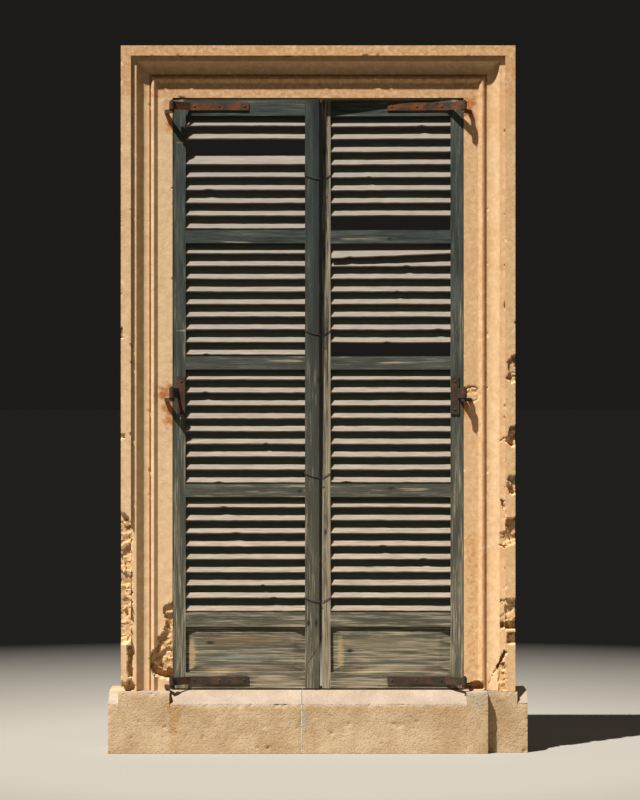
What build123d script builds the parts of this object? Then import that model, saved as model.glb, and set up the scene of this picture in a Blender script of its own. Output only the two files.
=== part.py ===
import math
import os

from build123d import *

# A pair of louvred shutters in its moulded stone surround, closed and tied shut.
# Millimetres, +Z up. The origin is under the sill, on the centre line of the opening,
# in the plane of the flat stone fascia. The outside faces -Y.

# Opening between the stone jambs, above the sill
opening_width = 1200
opening_height = 2440

# Stone surround, measured outwards from the opening, and how far each part stands out
stone_depth = 180
fascia_width = 60
bead_width = 28
bead_out = 15
bead_lip = 4
quirk_width = 7
cove_width = 51
cove_low_out = 7
cove_high_out = 40
cove_dip = 7
step_width = 22
fillet_width = 41
fillet_out = 56
stop_width = 22

# Sill blocks, with a sloped top between square seats for the jambs
sill_height = 250
sill_overhang = 50
sill_out = 100
right_block_out = 58
weathering_drop = 49
threshold_front = 5
seat_margin = 8
first_joint_x = -66
second_joint_x = 696
block_joint = 3

# Leaf members, all planed to one thickness
leaf_thickness = 44
leaf_setback = 4
leaf_bottom_gap = 7
leaf_top_gap = 7
jamb_gap = 3
hinge_stile_width = 51
rail_height = 54
bottom_rail_height = 66
panel_rail_height = 58
top_rail_height = 66
panel_opening_height = 188
bay_heights = (471, 467, 472)
closing_bevel = 6

# Left and right leaves differ: the left one reaches past the centre line
left_leaf_reach = 8
right_leaf_start = 16
left_meeting_stile_width = 62
right_meeting_stile_width = 35
left_leaf_warp = 0
right_leaf_warp = 28

# Cover strip planted on the left meeting stile
strip_width = 29
strip_out = 6
strip_edge_out = 2
strip_bevel = 5

# Louvre slats, sloping down to the outside
slats_per_bay = 9
slat_width = 52
slat_thickness = 8
slat_angle = 52
slat_nose_bevel = 1.5
slat_front_gap = 1.5
slat_rail_gap = 1.5
housing_depth = 10
slat_end_gap = 2

# Joinery
tenon_thickness = 12
tenon_length = 18
tenon_shoulder = 8
fit = 0.3
panel_edge_thickness = 9
panel_groove_depth = 10
panel_expansion_gap = 2
panel_field_out = 9
panel_side_margin = 44
panel_end_margin = 24

# Ironwork
pin_radius = 6
pin_standoff = 48
pin_rise = 6
eye_radius = 11
pin_clearance = 0.4
strap_thickness = 5
strap_height = 32
strap_reach = 314
strap_neck_start = 74
strap_end_margin = 17
mid_plate_start = 19
mid_plate_width = 33
mid_plate_height = 156
mid_arm_height = 40
mid_hinge_level = 1224
arm_height = 15
arm_width = 14
arm_end = 8
spike_offset = 25
spike_length = 70
spike_taper = 20
spike_point = 5
nail_shank = 4
nail_head_radius = 6
nail_head_out = 2.5
nail_length = 24
strap_nails = 3
plate_nail_margin = 20

# Slats that are lost or turned in their slots, as (bay, slot) counted from the top, and the
# one that has come out of one stile
left_missing = {(1, 3)}
right_missing = {(1, 9), (2, 1), (2, 9)}
left_turned = {(1, 4): -3, (3, 4): 3, (4, 3): -3, (4, 7): 4}
right_turned = {(3, 4): -4, (3, 5): 4, (4, 7): 5, (4, 8): -4}
right_loose = {(2, 1)}
loose_drop = 20
loose_end_gap = 4

# Values that follow from the sizes above
cove_end = fascia_width + bead_width + quirk_width + cove_width
surround_width = cove_end + step_width + fillet_width
half_opening = opening_width / 2
sill_top = sill_height
head_level = sill_top + opening_height
leaf_bottom = sill_top + leaf_bottom_gap
leaf_top = head_level - leaf_top_gap
leaf_height = leaf_top - leaf_bottom
leaf_front = leaf_setback
leaf_back = leaf_setback + leaf_thickness
leaf_middle = (leaf_front + leaf_back) / 2
stile_inner = jamb_gap + hinge_stile_width
stop_front = leaf_back + jamb_gap
slat_rise = slat_width * math.sin(math.radians(slat_angle))
slat_nose_drop = slat_thickness * math.cos(math.radians(slat_angle))
top_strap_level = leaf_top - top_rail_height / 2 + 5
bottom_strap_level = leaf_bottom + bottom_rail_height / 2


def block(x0, x1, y0, y1, z0, z1):
    middle = ((x0 + x1) / 2, (y0 + y1) / 2, (z0 + z1) / 2)
    return Pos(*middle) * Box(abs(x1 - x0), abs(y1 - y0), abs(z1 - z0))


def prism(plane, points, along):
    """A straight bar with the outline `points` in `plane`, drawn out by the vector `along`."""
    face = plane * make_face(Polyline(*points, close=True))
    length = Vector(*along).length
    return extrude(face, amount=length, dir=Vector(*along).normalized())


def as_solid(shape):
    """A boolean result that is one body, given back as a plain solid."""
    solids = shape.solids()
    return solids[0] if len(solids) == 1 else Compound(children=solids)


# Stone surround


def moulding_outline(stop):
    """Plan section of the stone; x is outwards from the opening and -y is towards the street."""
    bead_ridge = fascia_width + bead_out
    bead_end = fascia_width + bead_width
    cove_start = bead_end + quirk_width
    dip = math.radians(cove_dip)
    step_end = cove_end + step_width
    edges = [
        Polyline((0, 0), (fascia_width, 0), (bead_ridge, -bead_out)),
        TangentArc((bead_ridge, -bead_out), (bead_end, -bead_lip), tangent=(1, 0)),
        Polyline(
            (bead_end, -bead_lip),
            (bead_end, 0),
            (cove_start, 0),
            (cove_start, -cove_low_out),
        ),
        TangentArc(
            (cove_start, -cove_low_out),
            (cove_end, -cove_high_out),
            tangent=(math.cos(dip), math.sin(dip)),
        ),
        Polyline(
            (cove_end, -cove_high_out),
            (step_end, -cove_high_out),
            (step_end, -fillet_out),
            (surround_width, -fillet_out),
            (surround_width, stone_depth),
        ),
    ]
    if stop:
        back = [(surround_width, stone_depth), (-stop_width, stone_depth)]
        back += [(-stop_width, stop_front), (0, stop_front), (0, 0)]
    else:
        back = [(surround_width, stone_depth), (0, stone_depth), (0, 0)]
    edges.append(Polyline(*back))
    return make_face(Wire(Curve() + edges))


def spall(points, near_y, far_y, shrink):
    """Stone lost from the face inside an outline in the x-z plane, narrowing with depth."""
    plane = Plane.XZ.offset(-near_y)
    face = plane * make_face(Polyline(*points, close=True))
    angle = math.degrees(math.atan(shrink / (far_y - near_y)))
    return extrude(face, amount=-(far_y - near_y), taper=angle)


def build_jamb(side):
    section = moulding_outline(stop=True)
    post = Pos(half_opening, 0, sill_top) * extrude(section, amount=opening_height)
    post = post if side > 0 else mirror(post, about=Plane.YZ)
    return as_solid(post - pintle_sockets(side) - jamb_losses(side))


def jamb_losses(side):
    """Breaks in the mouldings near the foot of each jamb, where damp has burst the stone."""
    outer = half_opening + surround_width
    edge = outer + 10
    front = -fillet_out - 5
    fillet_in = outer - fillet_width
    if side < 0:
        shin = [(-edge, 180), (-fillet_in + 6, 196), (-fillet_in + 26, 300), (-fillet_in + 2, 420)]
        shin += [(-fillet_in + 16, 560), (-outer + 24, 690), (-edge, 705)]
        chip = [(-edge, 735), (-outer + 20, 745), (-outer + 26, 770), (-edge, 785)]
        nick = [(-edge, 1030), (-outer + 16, 1036), (-outer + 14, 1056), (-edge, 1062)]
        foot = [(-edge, -4), (-fillet_in + 14, -4), (-fillet_in + 6, 36), (-edge, 52)]
        cavity = [(-half_opening + 20, 4), (-half_opening - 84, 8), (-half_opening - 100, 60)]
        cavity += [(-half_opening - 90, 150), (-half_opening - 50, 210), (-half_opening + 20, 345)]
        return [
            lifted_spall(shin, front, -22, 14),
            lifted_spall(chip, front, -30, 6),
            lifted_spall(nick, front, -36, 4),
            lifted_spall(foot, front, -16, 8),
            lifted_spall(cavity, front, 34, 16),
        ]
    bite = [(edge, 596), (outer - 20, 606), (outer - 34, 650), (outer - 18, 700), (edge, 722)]
    cavity = [(edge, 256), (outer - 40, 262), (outer - 82, 300), (outer - 78, 380)]
    cavity += [(outer - 30, 412), (edge, 404)]
    notch = [(edge, 190), (outer - 22, 196), (outer - 30, 236), (edge, 248)]
    upper = [(edge, 815), (outer - 26, 826), (outer - 22, 868), (edge, 882)]
    small = [(edge, 1010), (outer - 30, 1022), (outer - 18, 1060), (edge, 1070)]
    toe = [(half_opening + 8, -4), (half_opening + 100, -4), (half_opening + 88, 34)]
    toe += [(half_opening + 50, 44), (half_opening + 8, 30)]
    return [
        lifted_spall(bite, front, -16, 12),
        lifted_spall(cavity, front, -6, 16),
        lifted_spall(notch, front, -26, 8),
        lifted_spall(upper, front, -30, 8),
        lifted_spall(small, front, -34, 6),
        lifted_spall(toe, front, 40, 8),
    ]


def lifted_spall(points, near_y, far_y, shrink):
    return Pos(0, 0, sill_top) * spall(points, near_y, far_y, shrink)


def build_head():
    """The lintel bears on both jambs and carries the mitred corners of the moulding."""
    section = moulding_outline(stop=False)
    outer = half_opening + surround_width
    deep = (-fillet_out - 1, stone_depth + 1)
    upright = Pos(half_opening, 0, head_level) * extrude(section, amount=surround_width)
    corner = [(half_opening, head_level), (outer, head_level), (outer, head_level + surround_width)]
    plane = Plane.XZ.offset(-deep[0])
    corner_clip = extrude(plane * make_face(Polyline(*corner, close=True)), amount=deep[0] - deep[1])
    corner_stone = upright & corner_clip
    run_plane = Plane(origin=(-outer, 0, head_level), x_dir=(0, 0, 1), z_dir=(1, 0, 0))
    run_section = run_plane * mirror(section, about=Plane.XZ)
    run = extrude(run_section, amount=2 * outer)
    trapezium = [(-half_opening, head_level), (half_opening, head_level)]
    trapezium += [(outer, head_level + surround_width), (-outer, head_level + surround_width)]
    run_clip = extrude(plane * make_face(Polyline(*trapezium, close=True)), amount=deep[0] - deep[1])
    head = (run & run_clip) + corner_stone + mirror(corner_stone, about=Plane.YZ)
    return as_solid(head)


# Sill


def sill_length(x0, x1, out):
    """A length of sill with its sloped top, from the front face back to the flat threshold."""
    points = [
        (stone_depth, 0),
        (stone_depth, sill_top),
        (-threshold_front, sill_top),
        (-out, sill_top - weathering_drop),
        (-out, 0),
    ]
    plane = Plane(origin=(x0, 0, 0), x_dir=(0, 1, 0), z_dir=(1, 0, 0))
    return prism(plane, points, (x1 - x0, 0, 0))


def jamb_seat(x0, x1, out):
    return block(x0, x1, -out, 0, sill_top - weathering_drop - 1, sill_top)


def build_sill():
    half_joint = block_joint / 2
    end = half_opening + surround_width + sill_overhang
    seat_in = half_opening + seat_margin
    seat_out = half_opening + surround_width + seat_margin
    left = sill_length(-end, first_joint_x - half_joint, sill_out)
    left += jamb_seat(-seat_out, -seat_in, sill_out)
    middle = sill_length(first_joint_x + half_joint, second_joint_x - half_joint, sill_out)
    middle += jamb_seat(seat_in, second_joint_x - half_joint, sill_out)
    right = sill_length(second_joint_x + half_joint, end, right_block_out)
    right += jamb_seat(second_joint_x + half_joint, seat_out, right_block_out)
    return {
        "sill_block_left": as_solid(left),
        "sill_block_middle": as_solid(middle),
        "sill_block_right": as_solid(right),
    }


# Pintles: a forged bar leaded into the stone, turned up into the pin the strap turns on.
# Each is drawn for the left jamb, with the pin at x = -half_opening, and mirrored for the right.


def unit_normal(start, end):
    dx, dy = end[0] - start[0], end[1] - start[1]
    length = math.hypot(dx, dy)
    return -dy / length, dx / length


def bent_bar(route, width):
    """Outline in plan of a bar of even width along `route`, mitred at its bends."""
    normals = [unit_normal(a, b) for a, b in zip(route, route[1:])]
    before = normals[:1] + normals
    after = normals + normals[-1:]
    near, far = [], []
    for (x, y), (ax, ay), (bx, by) in zip(route, before, after):
        reach = width / (1 + ax * bx + ay * by)
        near.append((x + (ax + bx) * reach / 2, y + (ay + by) * reach / 2))
        far.append((x - (ax + bx) * reach / 2, y - (ay + by) * reach / 2))
    return near + far[::-1]


def hinge_levels():
    return {
        "top": (top_strap_level, strap_height),
        "middle": (sill_top + mid_hinge_level, mid_arm_height),
        "bottom": (bottom_strap_level, strap_height),
    }


def build_pintle(level, eye_height):
    arm_top = level - eye_height / 2 - pin_clearance
    arm_bottom = arm_top - arm_height
    pin = (-half_opening, -pin_standoff)
    heel = (pin[0] + arm_end / math.sqrt(2), pin[1] - arm_end / math.sqrt(2))
    bend = (-half_opening - spike_offset, -arm_width)
    tip = (bend[0], spike_length - spike_taper)
    point = (bend[0], spike_length)
    plan = make_face(Polyline(*bent_bar([heel, bend, tip], arm_width), close=True))
    plan += make_face(
        Polyline(
            (tip[0] - arm_width / 2, tip[1]),
            (point[0] - spike_point / 2, point[1]),
            (point[0] + spike_point / 2, point[1]),
            (tip[0] + arm_width / 2, tip[1]),
            close=True,
        )
    )
    arm = Pos(0, 0, arm_bottom) * extrude(plan, amount=arm_height)
    pin_height = eye_height + pin_clearance + pin_rise
    upright = Pos(pin[0], pin[1], arm_top) * extrude(Circle(pin_radius), amount=pin_height)
    return as_solid(arm + upright)


def pintle_sockets(side):
    """Square holes in the jamb that the spikes are leaded into."""
    holes = []
    for level, eye_height in hinge_levels().values():
        arm_top = level - eye_height / 2 - pin_clearance
        x = -half_opening - spike_offset
        half = arm_width / 2 + fit
        hole = block(x - half, x + half, -1, spike_length + fit, arm_top - arm_height - fit, arm_top + fit)
        holes.append(hole if side < 0 else mirror(hole, about=Plane.YZ))
    return holes


# Leaves. Each is drawn as the left leaf, with `u` the distance from the jamb, and the right
# one is mirrored. `warp` is how far the top closing corner has moved back out of flat.


class Leaf:
    def __init__(self, name, side, width, meeting_stile, warp, missing, turned):
        self.name = name
        self.side = side
        self.width = width
        self.edge = jamb_gap + width
        self.inner = self.edge - meeting_stile
        self.warp = warp
        self.missing = missing
        self.turned = turned
        self.clear = self.inner - stile_inner

    def x(self, u):
        return u - half_opening

    def shift(self, z):
        """How far back the meeting stile stands at the height z."""
        return self.warp * (z - leaf_bottom) / leaf_height

    def slope(self, z):
        return self.shift(z) / self.clear

    def hand(self, shape):
        shape = as_solid(shape)
        return shape if self.side < 0 else mirror(shape, about=Plane.YZ)


def rail_levels():
    """Bottom and top of each rail, and of each louvre bay, from the floor of the leaf up."""
    rails = {"bottom_rail": (leaf_bottom, leaf_bottom + bottom_rail_height)}
    panel_bottom = leaf_bottom + bottom_rail_height
    panel_top = panel_bottom + panel_opening_height
    rails["panel_rail"] = (panel_top, panel_top + panel_rail_height)
    rails["top_rail"] = (leaf_top - top_rail_height, leaf_top)
    bays = []
    level = leaf_top - top_rail_height
    for number, height in enumerate(bay_heights, start=1):
        bays.append((level - height, level))
        level -= height
        rails[f"rail_{number}"] = (level - rail_height, level)
        level -= rail_height
    bays.append((panel_top + panel_rail_height, level))
    return rails, bays


rails_at, bays_at = rail_levels()


def slat_point(across, deep, angle):
    """Offset in y and z of a point `across` the slat and `deep` in it, at an angle in degrees."""
    cosine = math.cos(math.radians(angle))
    sine = math.sin(math.radians(angle))
    return across * cosine + deep * sine, across * sine - deep * cosine


def placed_section(corners, y, z, turn):
    """Slat corners set with the outer top corner at (y, z), then turned about the middle."""
    half_width, half_thickness = slat_width / 2, slat_thickness / 2
    middle_y, middle_z = slat_point(half_width, half_thickness, slat_angle)
    points = []
    for across, deep in corners:
        dy, dz = slat_point(across - half_width, deep - half_thickness, slat_angle + turn)
        points.append((y + middle_y + dy, z + middle_z + dz))
    return points


def slat_section(y, z, turn):
    bevel = slat_nose_bevel
    corners = [(bevel, 0), (slat_width, 0), (slat_width, slat_thickness)]
    corners += [(bevel, slat_thickness), (0, slat_thickness - bevel), (0, bevel)]
    return placed_section(corners, y, z, turn)


def slot_section(y, z, turn):
    far, deep = slat_width + fit, slat_thickness + fit
    corners = [(-fit, -fit), (far, -fit), (far, deep), (-fit, deep)]
    return placed_section(corners, y, z, turn)


def slat_places(leaf, bay):
    """Slot, height of the slat's outer top corner, and turn, for every slot of one bay."""
    low, high = bays_at[bay]
    top = high - slat_rise - slat_rail_gap
    pitch = (top - low - slat_nose_drop - slat_rail_gap) / (slats_per_bay - 1)
    places = []
    for number in range(slats_per_bay):
        turn = leaf.turned.get((bay + 1, number + 1), 0)
        places.append((number + 1, top - number * pitch, turn))
    return places


def slat_front():
    return leaf_front + slat_front_gap


def build_slat(leaf, z, turn):
    slope = leaf.slope(z)
    start = stile_inner - housing_depth + slat_end_gap
    end = leaf.inner + housing_depth - slat_end_gap
    y = slat_front() + slope * (start - stile_inner)
    plane = Plane(origin=(leaf.x(start), 0, 0), x_dir=(0, 1, 0), z_dir=(1, 0, 0))
    return prism(plane, slat_section(y, z, turn), (end - start, slope * (end - start), 0))


def build_housings(leaf, stile_side):
    """Slots in a stile for all its slat ends, empty ones too where the slat is lost."""
    slots = []
    for bay in range(len(bays_at)):
        for slot, z, turn in slat_places(leaf, bay):
            slope = leaf.slope(z)
            if stile_side == "hinge":
                start = stile_inner - housing_depth
                end = stile_inner + 1
            else:
                start = leaf.inner - 1
                end = leaf.inner + housing_depth
            y = slat_front() + slope * (start - stile_inner)
            plane = Plane(origin=(leaf.x(start), 0, 0), x_dir=(0, 1, 0), z_dir=(1, 0, 0))
            along = (end - start, slope * (end - start), 0)
            slots.append(prism(plane, slot_section(y, z, turn), along))
    return slots


def tenon(leaf, name, stile_side, grow):
    """Stub tenon of a rail, or with `grow` the mortise for it."""
    low, high = rails_at[name]
    low += tenon_shoulder - grow
    high -= tenon_shoulder - grow
    half = tenon_thickness / 2 + grow
    if stile_side == "hinge":
        start = stile_inner - tenon_length - grow
        end = stile_inner + grow
        middle = leaf_middle
    else:
        start = leaf.inner - grow
        end = leaf.inner + tenon_length + grow
        middle = leaf_middle + leaf.shift((low + high) / 2)
    return block(leaf.x(start), leaf.x(end), middle - half, middle + half, low, high)


def panel_space(grow):
    """Half thickness, bottom and top of the panel tongue, grown by `grow` for its groove."""
    low = rails_at["bottom_rail"][1] - panel_groove_depth + panel_expansion_gap - grow
    high = rails_at["panel_rail"][0] + panel_groove_depth - panel_expansion_gap + grow
    return panel_edge_thickness / 2 + min(grow, fit), low, high


def panel_groove(leaf):
    half, low, high = panel_space(panel_expansion_gap)
    start = stile_inner - panel_groove_depth
    end = leaf.inner + panel_groove_depth
    return block(leaf.x(start), leaf.x(end), leaf_middle - half, leaf_middle + half, low, high)


def build_rail(leaf, name):
    low, high = rails_at[name]
    slope = leaf.slope((low + high) / 2)
    points = [(leaf_front, low), (leaf_back, low), (leaf_back, high), (leaf_front, high)]
    plane = Plane(origin=(leaf.x(stile_inner), 0, 0), x_dir=(0, 1, 0), z_dir=(1, 0, 0))
    rail = prism(plane, points, (leaf.clear, slope * leaf.clear, 0))
    rail += tenon(leaf, name, "hinge", 0)
    rail += tenon(leaf, name, "meeting", 0)
    if name in ("bottom_rail", "panel_rail"):
        rail -= panel_groove(leaf)
    holes = rail_nail_holes(leaf, name)
    return rail - holes if holes else rail


def build_hinge_stile(leaf):
    stile = block(leaf.x(jamb_gap), leaf.x(stile_inner), leaf_front, leaf_back, leaf_bottom, leaf_top)
    mortises = [tenon(leaf, name, "hinge", fit) for name in rails_at]
    stile -= build_housings(leaf, "hinge") + mortises
    return stile - [panel_groove(leaf)] - plate_nails(leaf, fit)


def build_meeting_stile(leaf):
    plane = Plane(origin=(0, 0, leaf_bottom), x_dir=(1, 0, 0), z_dir=(0, 0, 1))
    points = [
        (leaf.x(leaf.inner), leaf_front),
        (leaf.x(leaf.edge), leaf_front),
        (leaf.x(leaf.edge - closing_bevel), leaf_back),
        (leaf.x(leaf.inner), leaf_back),
    ]
    stile = prism(plane, points, (0, leaf.warp, leaf_height))
    mortises = [tenon(leaf, name, "meeting", fit) for name in rails_at]
    return stile - (build_housings(leaf, "meeting") + mortises) - [panel_groove(leaf)]


def build_panel(leaf):
    """Raised panel: a thin tongue all round, and sloped margins up to a flat field."""
    half, low, high = panel_space(0)
    start = stile_inner - panel_groove_depth + panel_expansion_gap
    end = leaf.inner + panel_groove_depth - panel_expansion_gap
    tongue = block(leaf.x(start), leaf.x(end), leaf_middle - half, leaf_middle + half, low, high)
    left, right = leaf.x(stile_inner + panel_expansion_gap), leaf.x(leaf.inner - panel_expansion_gap)
    foot = rails_at["bottom_rail"][1] + panel_expansion_gap
    brow = rails_at["panel_rail"][0] - panel_expansion_gap
    back = leaf_middle
    edge = leaf_middle - half
    front = edge - panel_field_out
    across = [(left, back), (left, edge), (left + panel_side_margin, front)]
    across += [(right - panel_side_margin, front), (right, edge), (right, back)]
    upward = [(back, foot), (edge, foot), (front, foot + panel_end_margin)]
    upward += [(front, brow - panel_end_margin), (edge, brow), (back, brow)]
    flat = Plane(origin=(0, 0, foot), x_dir=(1, 0, 0), z_dir=(0, 0, 1))
    end_on = Plane(origin=(left, 0, 0), x_dir=(0, 1, 0), z_dir=(1, 0, 0))
    sides = prism(flat, across, (0, 0, brow - foot))
    return tongue + (sides & prism(end_on, upward, (right - left, 0, 0)))


def build_cover_strip(leaf):
    """Planed strip, bevelled on its outer corners, nailed on beside the closing edge."""
    start = leaf.x(leaf.edge - strip_width)
    end = leaf.x(leaf.edge)
    points = [
        (start, leaf_front),
        (start, leaf_front - strip_edge_out),
        (start + strip_bevel, leaf_front - strip_out),
        (end - strip_bevel, leaf_front - strip_out),
        (end, leaf_front - strip_edge_out),
        (end, leaf_front),
    ]
    plane = Plane(origin=(0, 0, leaf_bottom), x_dir=(1, 0, 0), z_dir=(0, 0, 1))
    return prism(plane, points, (0, leaf.warp, leaf_height))


# Straps and nails


def strap_face(leaf, u, level):
    """Depth of the wooden face that the strap lies on, at the distance u from the jamb."""
    name = "top_rail" if level == top_strap_level else "bottom_rail"
    slope = leaf.slope(sum(rails_at[name]) / 2)
    return leaf_front + slope * max(u - stile_inner, 0), slope


def build_strap(leaf, level):
    bend = strap_neck_start
    face_at_bend, slope = strap_face(leaf, bend, level)
    face_at_end, slope = strap_face(leaf, strap_reach, level)
    lift = strap_thickness / 2 * math.hypot(1, slope)
    pin = (leaf.x(0), -pin_standoff)
    elbow = (leaf.x(bend), face_at_bend - lift)
    end = (leaf.x(strap_reach), face_at_end - lift)
    plan = make_face(Polyline(*bent_bar([pin, elbow, end], strap_thickness), close=True))
    plan += Pos(*pin) * Circle(eye_radius)
    plan -= Pos(*pin) * Circle(pin_radius + pin_clearance)
    strap = Pos(0, 0, level - strap_height / 2) * extrude(plan, amount=strap_height)
    return strap - strap_nails_at(leaf, level, fit)


def build_mid_hinge(leaf):
    level = sill_top + mid_hinge_level
    low = level - mid_plate_height / 2 - 10
    start, end = leaf.x(mid_plate_start), leaf.x(mid_plate_start + mid_plate_width)
    plate = block(start, end, leaf_front - strap_thickness, leaf_front, low, low + mid_plate_height)
    pin = (leaf.x(0), -pin_standoff)
    elbow = (start + strap_thickness, leaf_front - strap_thickness / 2)
    end = (elbow[0] + strap_thickness, elbow[1])
    plan = make_face(Polyline(*bent_bar([pin, elbow, end], strap_thickness), close=True))
    plan += Pos(*pin) * Circle(eye_radius)
    plan -= Pos(*pin) * Circle(pin_radius + pin_clearance)
    arm = Pos(0, 0, level - mid_arm_height / 2) * extrude(plan, amount=mid_arm_height)
    return plate + arm - plate_nails(leaf, fit)


def nail_at(x, y, z, slope, grow):
    """Forged square nail driven along +Y, or with `grow` the hole for its shank."""
    thick = nail_shank + 2 * grow
    shank = block(-thick / 2, thick / 2, -grow, nail_length + grow, -thick / 2, thick / 2)
    if grow == 0:
        rose = extrude(Plane.XZ * RegularPolygon(nail_head_radius, 6), nail_head_out, taper=50)
        shank += rose
    return Pos(x, y, z) * Rot(0, 0, math.degrees(math.atan(slope))) * shank


def strap_nails_at(leaf, level, grow):
    nails = []
    span = strap_reach - strap_end_margin - strap_neck_start - strap_end_margin
    for number in range(strap_nails):
        u = strap_neck_start + strap_end_margin + span * number / (strap_nails - 1)
        face, slope = strap_face(leaf, u, level)
        front = face - strap_thickness * math.hypot(1, slope)
        nails.append(nail_at(leaf.x(u), front, level, slope, grow))
    return nails


def plate_nails(leaf, grow):
    level = sill_top + mid_hinge_level - 10
    x = leaf.x(mid_plate_start + mid_plate_width / 2)
    reach = mid_plate_height / 2 - plate_nail_margin
    nails = []
    for z in (level - reach, level + reach):
        nails.append(nail_at(x, leaf_front - strap_thickness, z, 0, grow))
    return nails


def rail_nail_holes(leaf, name):
    if name == "top_rail":
        return strap_nails_at(leaf, top_strap_level, fit)
    if name == "bottom_rail":
        return strap_nails_at(leaf, bottom_strap_level, fit)
    return []


def build_slat_bay(leaf, bay):
    slats = []
    for slot, z, turn in slat_places(leaf, bay):
        if (bay + 1, slot) not in leaf.missing:
            slats.append(build_slat(leaf, z, turn))
    return Compound(children=[leaf.hand(slat) for slat in slats])


def build_loose_slat(leaf):
    """A slat still held in the hinge stile; its other end is out of its slot and has dropped."""
    bay, slot = min(right_loose)
    z = slat_places(leaf, bay - 1)[slot - 1][1]
    slope = leaf.slope(z)
    start = stile_inner - housing_depth / 2
    length = leaf.inner - loose_end_gap - start
    y = slat_front() + slope * (start - stile_inner)
    plane = Plane(origin=(leaf.x(start), 0, 0), x_dir=(0, 1, 0), z_dir=(1, 0, 0))
    return prism(plane, slat_section(y, z, 0), (length, slope * length, -loose_drop))


def leaf_nodes(leaf):
    nodes = {"hinge_stile": build_hinge_stile(leaf), "meeting_stile": build_meeting_stile(leaf)}
    for name in rails_at:
        nodes[name] = build_rail(leaf, name)
    nodes["panel"] = build_panel(leaf)
    nodes["top_strap"] = build_strap(leaf, top_strap_level)
    nodes["middle_hinge"] = build_mid_hinge(leaf)
    nodes["bottom_strap"] = build_strap(leaf, bottom_strap_level)
    named = {f"{leaf.name}_{name}": leaf.hand(shape) for name, shape in nodes.items()}
    nails = strap_nails_at(leaf, top_strap_level, 0) + plate_nails(leaf, 0)
    nails += strap_nails_at(leaf, bottom_strap_level, 0)
    named[f"{leaf.name}_nails"] = Compound(children=[leaf.hand(nail) for nail in nails])
    for bay in range(len(bays_at)):
        named[f"{leaf.name}_slats_bay_{bay + 1}"] = build_slat_bay(leaf, bay)
    return named


def build_all():
    left_width = half_opening + left_leaf_reach - jamb_gap
    right_width = half_opening - right_leaf_start - jamb_gap
    left = Leaf(
        "left", -1, left_width, left_meeting_stile_width, left_leaf_warp, left_missing, left_turned
    )
    right = Leaf(
        "right", 1, right_width, right_meeting_stile_width, right_leaf_warp, right_missing,
        right_turned,
    )
    nodes = {"jamb_left": build_jamb(-1), "jamb_right": build_jamb(1), "head": build_head()}
    nodes.update(build_sill())
    for place, (level, eye_height) in hinge_levels().items():
        pintle = build_pintle(level, eye_height)
        nodes[f"left_{place}_pintle"] = pintle
        nodes[f"right_{place}_pintle"] = mirror(pintle, about=Plane.YZ)
    nodes.update(leaf_nodes(left))
    nodes.update(leaf_nodes(right))
    nodes["left_cover_strip"] = left.hand(build_cover_strip(left))
    nodes["right_loose_slat"] = right.hand(build_loose_slat(right))
    return nodes


os.makedirs("parts", exist_ok=True)
for node, shape in build_all().items():
    export_step(shape, f"parts/{node}.step")
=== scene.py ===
import math
import random

import bpy
import numpy as np
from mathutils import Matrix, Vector, noise


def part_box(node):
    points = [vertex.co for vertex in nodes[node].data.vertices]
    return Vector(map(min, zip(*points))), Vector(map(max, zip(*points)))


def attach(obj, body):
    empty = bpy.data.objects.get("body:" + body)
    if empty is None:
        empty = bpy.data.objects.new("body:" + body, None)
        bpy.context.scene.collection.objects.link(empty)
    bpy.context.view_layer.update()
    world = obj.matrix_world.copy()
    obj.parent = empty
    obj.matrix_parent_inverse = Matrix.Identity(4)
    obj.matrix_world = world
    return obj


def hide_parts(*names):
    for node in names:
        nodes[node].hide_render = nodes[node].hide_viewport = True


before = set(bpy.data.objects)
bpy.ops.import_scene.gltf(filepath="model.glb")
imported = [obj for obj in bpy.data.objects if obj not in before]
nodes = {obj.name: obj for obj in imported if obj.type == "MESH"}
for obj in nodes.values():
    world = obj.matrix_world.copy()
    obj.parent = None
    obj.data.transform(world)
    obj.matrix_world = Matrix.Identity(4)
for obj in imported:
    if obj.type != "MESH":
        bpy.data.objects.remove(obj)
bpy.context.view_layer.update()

# Camera. It stands level in the street, 12 m off and about half way up the opening, so the
# uprights stay parallel. The lens takes in 3.3 m of height in the plane of the fascia.
camera_distance = 12.0
camera_height = 1.445
camera_side = 0.0078
seen_height = 3.296
film_height = 24.0

camera_data = bpy.data.cameras.new("street_camera")
camera_data.sensor_fit = "VERTICAL"
camera_data.sensor_height = film_height
camera_data.lens = film_height * camera_distance / seen_height
camera = bpy.data.objects.new("street_camera", camera_data)
camera.location = (camera_side, -camera_distance, camera_height)
camera.rotation_euler = (math.radians(90), 0, 0)
bpy.context.scene.collection.objects.link(camera)
bpy.context.scene.camera = camera
bpy.context.scene.view_settings.view_transform = "Standard"

# Stone surround. Two posts and a lintel of soft limestone, moulded by hand and mitred at the
# corners, set in lime mortar and limewashed cream. Damp has burst the mouldings near the foot.
mm = 0.001
half_opening = 600 * mm
fascia_width = 60 * mm
bead_width = 28 * mm
bead_out = 15 * mm
bead_lip = 4 * mm
quirk_width = 7 * mm
cove_width = 51 * mm
cove_low_out = 7 * mm
cove_high_out = 40 * mm
cove_dip = math.radians(7)
step_width = 22 * mm
fillet_width = 41 * mm
fillet_out = 56 * mm
stone_depth = 180 * mm
stop_front = 51 * mm
stop_width = 22 * mm
stone_grid = 5 * mm
bead_steps = 5
cove_steps = 14
sill_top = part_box("jamb_left")[0].z
head_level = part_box("head")[0].z

bead_ridge = fascia_width + bead_out
bead_end = fascia_width + bead_width
cove_start = bead_end + quirk_width
cove_end = cove_start + cove_width
step_end = cove_end + step_width
surround_width = step_end + fillet_width


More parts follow.
